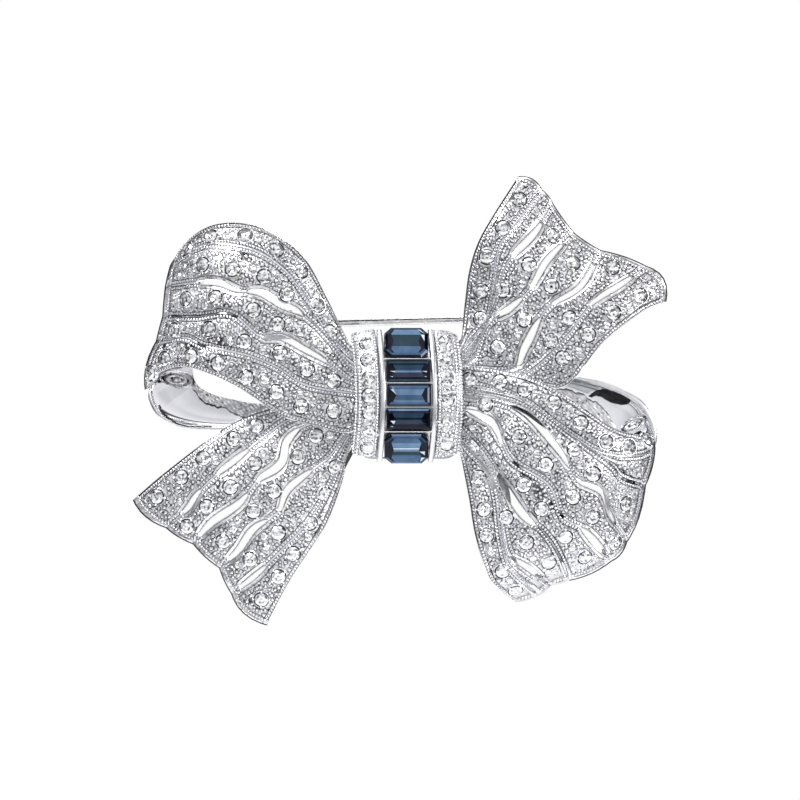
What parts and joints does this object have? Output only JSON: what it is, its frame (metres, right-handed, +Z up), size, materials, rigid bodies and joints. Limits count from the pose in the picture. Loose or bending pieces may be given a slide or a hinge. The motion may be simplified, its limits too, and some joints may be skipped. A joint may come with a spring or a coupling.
{
  "type": "brooch",
  "caption": "Bow brooch with pierced stone-set ribbon loops and tails, a knot of blue step-cut stones, a hinged pin and a turning safety catch.",
  "frame": {"origin": "centre of the back plate's flat back face", "axes": "+Z up as worn, +X to the right seen from the front, -Y out of the front, +Y towards the wearer"},
  "size_m": [0.057, 0.0135, 0.048],
  "materials": {
    "pave_ribbon": "rhodium plate with milgrain edges and set stones",
    "polished_band": "mirror polish",
    "knot_metal": "polished rims",
    "blue_stone": "foiled step-cut glass",
    "clear_stone": "foiled brilliant-cut glass",
    "back_metal": "satin rhodium plate",
    "steel": "drawn steel wire"
  },
  "bodies": {
    "brooch": {"left_loop": "pave_ribbon", "right_loop": "pave_ribbon", "left_tail": "pave_ribbon", "right_tail": "pave_ribbon", "left_loop_return": "polished_band", "right_loop_return": "polished_band", "knot_channel": "knot_metal", "left_collar": "knot_metal", "right_collar": "knot_metal", "blue_stone_1": "blue_stone", "blue_stone_2": "blue_stone", "blue_stone_3": "blue_stone", "blue_stone_4": "blue_stone", "blue_stone_5": "blue_stone", "left_collar_stone_1": "clear_stone", "left_collar_stone_2": "clear_stone", "left_collar_stone_3": "clear_stone", "left_collar_stone_4": "clear_stone", "left_collar_stone_5": "clear_stone", "left_collar_stone_6": "clear_stone", "left_collar_stone_7": "clear_stone", "right_collar_stone_1": "clear_stone", "right_collar_stone_2": "clear_stone", "right_collar_stone_3": "clear_stone", "right_collar_stone_4": "clear_stone", "right_collar_stone_5": "clear_stone", "right_collar_stone_6": "clear_stone", "back_plate": "back_metal", "hinge_base": "back_metal", "hinge_rivet": "steel", "catch_base": "back_metal"},
    "pin": {"pin_stem": "steel"},
    "safety_catch": {"catch_roller": "back_metal"}
  },
  "joints": [
    {"name": "pin_hinge", "type": "hinge", "parent": "brooch", "child": "pin", "pos_m": [-0.014, 0.0026, 0.00775], "axis": [0, 0, 1], "range_deg": [0, 100]},
    {"name": "catch_turn", "type": "hinge", "parent": "brooch", "child": "safety_catch", "pos_m": [0.00775, 0.0026, 0.0084], "axis": [1, 0, 0], "range_deg": [0, 150]}
  ]
}
